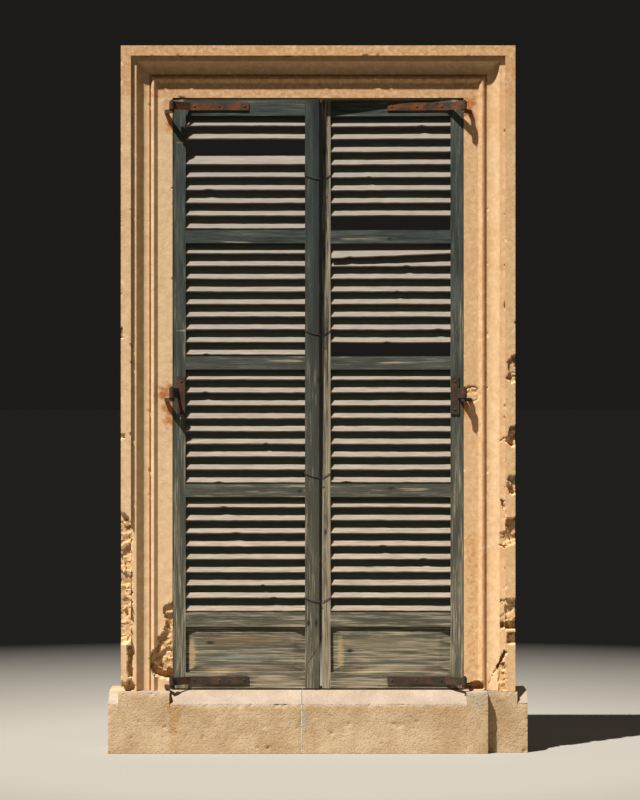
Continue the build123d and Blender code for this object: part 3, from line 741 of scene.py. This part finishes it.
timber_finishes = {
    "hinge_stile": painted_pine(
        "painted_pine_hinge_stile", upright, -0.03, worn_spots=stile_worn,
    ),
    "left_meeting_stile": painted_pine(
        "painted_pine_meeting_stile", upright, -0.07, [(-40, 526, 8, 20), foot_split],
        [(-62, 1105, 9, 60)], greens=("#121817", "#3b433d"),
    ),
    "right_meeting_stile": painted_pine(
        "painted_pine_bleached_stile", upright, 0.17, [(30, 900, 7, 16)],
        [(50, 1350, 9, 4000), (17, 1090, 9, 60)],
    ),
    # The cover strip's darker greens are partly its own paint and partly painted shade, for a face
    # that turns away from the light.
    "cover_strip": painted_pine(
        "painted_pine_strip_with_painted_shade", upright, -0.14, [(0, 1527, 9, 22), (-8, 526, 8, 24), foot_split],
        greens=("#0c1110", "#262d29"),
    ),
    "rail": painted_pine("painted_pine_rail", level, -0.05, rail_knots, rail_worn),
    "panel": painted_pine(
        "painted_pine_panel", level, -0.02, panel_knots, panel_worn, panel_stains_and_painted_light,
        depth=panel_face_depth,
    ),
}
for name, piece in nodes.items():
    for ending, finish in timber_finishes.items():
        if name.endswith(ending) or (ending == "rail" and name[:-2].endswith("rail")):
            piece.data.materials.clear()
            piece.data.materials.append(finish)

# Louvre slats. Thin pine boards housed in slots in the stiles, nine to a bay. Their outer
# halves are weathered bare and pale; the sheltered inner halves keep dark green paint, drawn
# lighter than it is as painted light in their shade.
slats_per_bay = 9
slat_width = 52 * mm
slat_thickness = 8 * mm
slat_angle = 52
slat_front_gap = 1.5 * mm
slat_rail_gap = 1.5 * mm
slat_steps = 72
most_bow = 1.3
most_skew = 1.2
split_depth = 5
missing = {"left": {(1, 3)}, "right": {(1, 9), (2, 1), (2, 9)}}
turned = {
    "left": {(1, 4): -3, (3, 4): 3, (4, 3): -3, (4, 7): 4},
    "right": {(3, 4): -4, (3, 5): 4, (4, 7): 5, (4, 8): -4},
}
# A slat is bare as far in as the sun reaches; the one under a lost slat is bare all over.
bare_reach = 27 * mm
bare_all = slat_width + 10 * mm
exposed = {"left": {(1, 4)}, "right": set()}
leaf_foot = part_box("left_hinge_stile")[0].z
leaf_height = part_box("left_hinge_stile")[1].z - leaf_foot


def slat_point(across, deep, angle):
    """Turns a place in the slat's section, across and through it, into depth and height."""
    cosine, sine = math.cos(math.radians(angle)), math.sin(math.radians(angle))
    return across * cosine + deep * sine, across * sine - deep * cosine


def slat_ring():
    """Corners round the board as (across, deep): top face, back edge, under face, nose."""
    upper = [0.4, 1.2, 3, 7, 12, 18, 24, 30, 38, 45, 51.6]
    under = [51, 38, 26, 14, 6, 1.5]
    ring = [(across * mm, 0) for across in upper]
    ring += [(slat_width, 0.5 * mm), (slat_width, slat_thickness - 0.5 * mm)]
    ring += [(across * mm, slat_thickness) for across in under]
    return ring + [(0, slat_thickness - 1.4 * mm), (0, 1.4 * mm)]


def slat_rows(start, end, y, z, turn, drop, lean, bare_to, dice):
    """Points of one slat, a closed ring at each station, and how bare its wood is there."""
    ring = slat_ring()
    middle_y, middle_z = slat_point(slat_width / 2, slat_thickness / 2, slat_angle)
    bow = dice.uniform(-most_bow, most_bow) * mm
    skew = dice.uniform(-most_skew, most_skew)
    seed = dice.uniform(0, 99)
    split_at, split_wide = dice.uniform(0.1, 0.9), dice.uniform(8, 30) * mm
    split_deep = dice.choice((0, 0, 0, 0, split_depth)) * mm
    points, bare = [], []
    for step in range(slat_steps + 1):
        t = step / slat_steps
        x = start + (end - start) * t
        rough = noise.fractal(Vector((x / (50 * mm), seed, 0)), 0.9, 2.0, 4)
        wear = (2.0 + 1.2 * rough) * mm
        from_split = abs(x - start - (end - start) * split_at)
        wear += split_deep * max(0, 1 - from_split / split_wide)
        angle = slat_angle + turn + skew * (2 * t - 1)
        edge = bare_to + 6 * mm * noise.noise(Vector((x / (60 * mm), seed, 5)))
        rise = bow * 4 * t * (1 - t) - drop * t
        for across, deep in ring:
            ripple = noise.noise(Vector((x / (90 * mm), across / (6 * mm), seed))) * 0.4 * mm
            back = max(0, 1 - across / (12 * mm)) * max(0, wear)
            from_middle = across + back - slat_width / 2
            dy, dz = slat_point(from_middle, deep + ripple - slat_thickness / 2, angle)
            points.append((x, y + middle_y + dy + lean * (x - start), z + middle_z + dz + rise))
            shown = np.clip((edge - across) / (5 * mm) + 0.5, 0, 1)
            bare.append(shown if deep < slat_thickness / 2 else shown * 0.5)
    return points, bare, len(ring)


def join_slats(name, slats):
    """One object of several slats, each a closed board."""
    points, bare, faces = [], [], []
    for slat_points, slat_bare, around in slats:
        first = len(points)
        points += slat_points
        bare += slat_bare
        rows = len(slat_points) // around
        for row in range(rows - 1):
            for corner in range(around):
                beside = (corner + 1) % around
                here, there = first + row * around, first + (row + 1) * around
                faces.append((here + corner, there + corner, there + beside, here + beside))
        faces.append(tuple(first + corner for corner in range(around)))
        last = first + (rows - 1) * around
        faces.append(tuple(last + corner for corner in reversed(range(around))))
    mesh = bpy.data.meshes.new(name)
    mesh.from_pydata(points, [], faces)
    mesh.validate()
    values = mesh.attributes.new("bare", "FLOAT", "POINT")
    values.data.foreach_set("value", np.array(bare, np.float32))
    made = bpy.data.objects.new(name, mesh)
    bpy.context.scene.collection.objects.link(made)
    return made


def bay_limits(side, bay):
    """The heights that a bay lies between: the top of one rail and the foot of another."""
    above = f"{side}_top_rail" if bay == 1 else f"{side}_rail_{bay - 1}"
    below = f"{side}_panel_rail" if bay == 4 else f"{side}_rail_{bay}"
    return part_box(below)[1].z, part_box(above)[0].z


def slot_height(side, bay, slot):
    """Height of the outer top corner of the slat in a slot, counted from the top."""
    low, high = bay_limits(side, bay)
    rise = slat_width * math.sin(math.radians(slat_angle))
    nose = slat_thickness * math.cos(math.radians(slat_angle))
    top = high - rise - slat_rail_gap
    pitch = (top - low - nose - slat_rail_gap) / (slats_per_bay - 1)
    return top - (slot - 1) * pitch


def leaf_lean(side, z):
    """How far the leaf runs back for each metre along +X, at a height."""
    meeting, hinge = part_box(f"{side}_meeting_stile"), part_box(f"{side}_hinge_stile")
    near, far = (0, 1) if side == "left" else (1, 0)
    warp = meeting[1].y - hinge[1].y
    return warp * (z - leaf_foot) / leaf_height / (meeting[near].x - hinge[far].x)


def weathered_slat():
    """Bare pine gone grey, grained along the board and greyest at the top; matt green paint
    further in, darkest at the foot. The green is drawn lighter than the real paint, as painted
    light in the shade of the inner halves. The grain is drawn 3 mm wide, so that it shows."""
    material, tree, place = new_material("bare_weathered_pine")
    grain = wood_grain(tree, place, (90 * mm, 3 * mm, 3 * mm), 0.65)
    tint = add(tree, "TexNoise", {"Vector": place, "Scale": 1 / (110 * mm), "Detail": 3})
    bare = add(tree, "Attribute", attribute_name="bare", out=2)
    tone = add(tree, "MapRange", [grain, 0.3, 0.7])
    silver = add(tree, "Mix", {0: tone, 6: "#63584b", 7: "#ad9d8a"}, **of_colours)
    dull = add(tree, "MapRange", [tint, 0.5, 0.7, 0, 0.5])
    patchy = add(tree, "Mix", {0: dull, 6: silver, 7: "#7f7a66"}, **of_colours)
    height = add(tree, "SeparateXYZ", [place], out=2)
    high_up = add(tree, "MapRange", [height, 0.8, 2.1, 0, 0.5])
    wood = add(tree, "Mix", {0: high_up, 6: patchy, 7: "#716c67"}, **of_colours)
    # Painted light: this green is lighter than the real dark paint, to lift the slats' shaded inner
    # halves.
    green = add(tree, "Mix", {0: tone, 6: "#5d6556", 7: "#8a917f"}, **of_colours)
    low_down = add(tree, "MapRange", [height, 2.0, 0.6, 0, 0.55])
    paint = add(tree, "Mix", {0: low_down, 6: green, 7: "#1c1f18"}, **of_colours)
    ragged_by = add(tree, "Math", [grain, 0.5], operation="SUBTRACT")
    edge = add(tree, "Math", [ragged_by, bare], operation="ADD")
    shown = add(tree, "MapRange", [edge, 0.4, 0.6])
    colour = add(tree, "Mix", {0: shown, 6: paint, 7: wood}, **of_colours)
    close_material(tree, colour, 0.8, 1.53, grain, 0.9 * mm)
    return material


slat_finish = weathered_slat()


def place_slats(name, node, body, slats):
    boards = join_slats(name, slats)
    boards.data.materials.append(slat_finish)
    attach(boards, body)
    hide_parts(node)


for side in ("left", "right"):
    dice = random.Random(side)
    for bay in range(1, 5):
        node = f"{side}_slats_bay_{bay}"
        low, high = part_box(node)
        start, end = (low.x, high.x) if side == "left" else (high.x, low.x)
        slats = []
        for slot in range(1, slats_per_bay + 1):
            if (bay, slot) not in missing[side]:
                z = slot_height(side, bay, slot)
                lean = leaf_lean(side, z)
                y = leaf_front + slat_front_gap - abs(lean) * 8 * mm
                turn = turned[side].get((bay, slot), 0)
                bare_to = bare_all if (bay, slot) in exposed[side] else bare_reach
                slats.append(slat_rows(start, end, y, z, turn, 0, lean, bare_to, dice))
        place_slats(f"weathered_{node}", node, f"{side}_leaf", slats)

# Hanging slat. A pine board like the rest, still held in the hinge stile. Its other end has
# dropped from its slot and leans out of the leaf, so that it shades the slat below.
loose_drop = 20 * mm
loose_out = 12 * mm
low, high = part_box("right_loose_slat")
z = slot_height("right", 2, 1)
lean = leaf_lean("right", z) + loose_out / (high.x - low.x)
y = leaf_front + slat_front_gap
hanging = slat_rows(high.x, low.x, y, z, 0, loose_drop, lean, bare_all, random.Random(5))
place_slats("hanging_slat", "right_loose_slat", "right_leaf", [hanging])


# Ironwork. Straps, plates, pintles and nails of wrought iron, forged flat and left bare; all
# of it has rusted through, orange where water runs off the hinges and brown elsewhere.
def rusted_iron():
    """Flaky rust, fully matt: dark brown scale with orange bloom."""
    material, tree, place = new_material("rusted_iron")
    bloom = add(tree, "TexNoise", {
        "Vector": place, "Scale": 1 / (40 * mm), "Detail": 5, "Roughness": 0.65,
    })
    flake = add(tree, "TexNoise", {"Vector": place, "Scale": 1 / (6 * mm), "Detail": 4})
    height = add(tree, "SeparateXYZ", [place], out=2)
    washed = add(tree, "MapRange", [height, 2.3, 2.6, 0, 0.1])
    wet = add(tree, "Math", [bloom, washed], operation="ADD")
    high_up = add(tree, "MapRange", [height, 0.6, 2.5])
    orange = add(tree, "Mix", {0: high_up, 6: "#623a20", 7: "#80450f"}, **of_colours)
    rusty = add(tree, "MapRange", [wet, 0.46, 0.82])
    scale = add(tree, "Mix", {0: rusty, 6: "#2b2117", 7: orange}, **of_colours)
    flaked = add(tree, "MapRange", [flake, 0.5, 0.75, 0, 0.5])
    colour = add(tree, "Mix", {0: flaked, 6: scale, 7: "#4c3820"}, **of_colours)
    close_material(tree, colour, 0.88, 1.5, flake, 1 * mm)
    return material


iron_finish = rusted_iron()
for name, piece in nodes.items():
    if name.endswith(("strap", "middle_hinge", "pintle", "nails")):
        piece.data.materials.clear()
        piece.data.materials.append(iron_finish)

# Wire ties. At four heights a doubled iron wire, twisted by hand, is passed between the slats
# and round both closing stiles to keep the leaves shut. Each tie is in two halves, one a leaf.
tie_heights = (2368 * mm, 1727 * mm, 1138 * mm, 625 * mm)
wire_radius = 0.9 * mm
wire_sides = 6
twist_pitch = 11 * mm
curve_steps = 12
strip_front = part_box("left_cover_strip")[0].y


def dark_wire():
    """Annealed iron wire, gone dull and nearly black with a little rust."""
    material, tree, place = new_material("dark_iron_wire")
    speck = add(tree, "TexNoise", {"Vector": place, "Scale": 1 / (10 * mm), "Detail": 3})
    colour = add(tree, "Mix", {0: speck, 6: "#191613", 7: "#4a3b2c"}, **of_colours)
    close_material(tree, colour, 0.7, 1.5, speck, 0.1 * mm)
    return material


def smooth_path(route):
    """A rounded curve through every corner of a route."""
    route = [Vector(point) for point in route]
    padded = [route[0] * 2 - route[1]] + route + [route[-1] * 2 - route[-2]]
    path = []
    for a, b, c, d in zip(padded, padded[1:], padded[2:], padded[3:]):
        for step in range(curve_steps):
            t = step / curve_steps
            bend = (c - a) * t + (a * 2 - b * 5 + c * 4 - d) * t ** 2
            bend += (b * 3 - a - c * 3 + d) * t ** 3
            path.append(b + bend / 2)
    return path + [route[-1]]


def twisted_wire(name, route):
    """Two strands wound round each other along a path."""
    path = smooth_path(route)
    points, faces = [], []
    for strand in (0, math.pi):
        travelled = 0
        first = len(points)
        for index, centre in enumerate(path):
            ahead, behind = path[min(index + 1, len(path) - 1)], path[max(index - 1, 0)]
            travelled += (centre - behind).length
            along = (ahead - behind).normalized()
            across = along.cross(Vector((0, 0.3, 1))).normalized()
            normal = across.cross(along)
            turn = strand + travelled / twist_pitch * math.tau
            core = centre + (across * math.cos(turn) + normal * math.sin(turn)) * wire_radius
            for side in range(wire_sides):
                angle = side / wire_sides * math.tau
                outward = across * math.cos(angle) + normal * math.sin(angle)
                points.append(core + outward * wire_radius)
        for row in range(len(path) - 1):
            for side in range(wire_sides):
                beside = (side + 1) % wire_sides
                here, there = first + row * wire_sides, first + (row + 1) * wire_sides
                faces.append((here + side, here + beside, there + beside, there + side))
        last = first + (len(path) - 1) * wire_sides
        faces.append(tuple(first + side for side in reversed(range(wire_sides))))
        faces.append(tuple(last + side for side in range(wire_sides)))
    mesh = bpy.data.meshes.new(name)
    mesh.from_pydata([tuple(point) for point in points], [], faces)
    mesh.validate()
    mesh.shade_smooth()
    made = bpy.data.objects.new(name, mesh)
    bpy.context.scene.collection.objects.link(made)
    return made


def tie_route(side, z):
    """From inside a gap between two slats, round the stile's edge and over its face."""
    proud = 2.2 * wire_radius
    if side == "left":
        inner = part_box("left_meeting_stile")[0].x
        strip_start, outer = (corner.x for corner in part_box("left_cover_strip"))
        face = leaf_front - proud
        return [
            (inner - proud - 1 * mm, face + 20 * mm, z + 18 * mm),
            (inner - proud, face + 5 * mm, z + 6 * mm),
            (inner + 4 * mm, face, z + 2 * mm),
            (strip_start - 5 * mm, face - 1 * mm, z - 6 * mm),
            (strip_start + 5 * mm, strip_front - proud, z - 10 * mm),
            (outer - 4 * mm, strip_front - proud, z - 12 * mm),
            (outer + 2 * mm, strip_front - proud + 1 * mm, z - 11 * mm),
        ]
    outer, inner = (corner.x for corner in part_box("right_meeting_stile"))
    face = leaf_front - proud + leaf_lean("right", z) * (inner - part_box("right_hinge_stile")[0].x)
    return [
        (inner + proud + 1 * mm, face + 20 * mm, z + 20 * mm),
        (inner + proud, face + 5 * mm, z + 8 * mm),
        (inner - 4 * mm, face, z + 3 * mm),
        (outer + 12 * mm, face - 1 * mm, z - 6 * mm),
        (outer - 1 * mm, face - 2 * mm, z - 10 * mm),
    ]


wire_finish = dark_wire()
for number, z in enumerate(tie_heights, start=1):
    for side in ("left", "right"):
        wire = twisted_wire(f"wire_tie_{number}_{side}", tie_route(side, z))
        wire.data.materials.append(wire_finish)
        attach(wire, f"{side}_leaf")

# Studio. A pale matt floor that darkens with distance, a high sun from the upper left and a
# weak warm fill, with a dark ground behind so that the gaps between the slats read as dark.
sun_side = math.radians(43.5)
sun_height = math.radians(60)
sun_spread = math.radians(1.0)
sun_strength = 7.6
sun_colour = (1.0, 0.97, 0.93)

sun_data = bpy.data.lights.new("key_sun", "SUN")
sun_data.energy = sun_strength
sun_data.angle = sun_spread
sun_data.color = sun_colour
sun = bpy.data.objects.new("key_sun", sun_data)
towards = Vector((
    -math.sin(sun_side) * math.cos(sun_height),
    -math.cos(sun_side) * math.cos(sun_height),
    math.sin(sun_height),
))
sun.rotation_euler = towards.to_track_quat("Z", "Y").to_euler()
bpy.context.scene.collection.objects.link(sun)


def pale_floor():
    """Pale matt studio floor, fading to the tone of the ground behind it."""
    material, tree, place = new_material("pale_studio_floor")
    reach = add(tree, "VectorMath", [place], out=1, operation="LENGTH")
    far_off = add(tree, "MapRange", [reach, 1.4, 5.5])
    colour = add(tree, "Mix", {0: far_off, 6: "#98948c", 7: "#131312"}, **of_colours)
    matt = add(tree, "BsdfDiffuse", {"Color": colour})
    add(tree, "OutputMaterial", {"Surface": matt})
    return material


floor_reach = 400.0
floor_level = -1 * mm
floor_mesh = bpy.data.meshes.new("studio_floor")
corners = [(-1, -1), (1, -1), (1, 1), (-1, 1)]
corners = [(x * floor_reach, y * floor_reach, floor_level) for x, y in corners]
floor_mesh.from_pydata(corners, [], [(0, 1, 2, 3)])
floor_mesh.materials.append(pale_floor())
floor = bpy.data.objects.new("studio_floor", floor_mesh)
bpy.context.scene.collection.objects.link(floor)

world = bpy.data.worlds.new("studio")
bpy.context.scene.world = world
world.use_nodes = True
world.node_tree.nodes.clear()
sky = world.node_tree
warm_fill = (0.12, 0.108, 0.092, 1)
dark_ground = "#1c1b19"
seen_by_camera = add(sky, "LightPath")
tone = add(sky, "Mix", {0: seen_by_camera, 6: warm_fill, 7: dark_ground}, **of_colours)
light = add(sky, "Background", {"Color": tone, "Strength": 1.0})
add(sky, "OutputWorld", {"Surface": light})
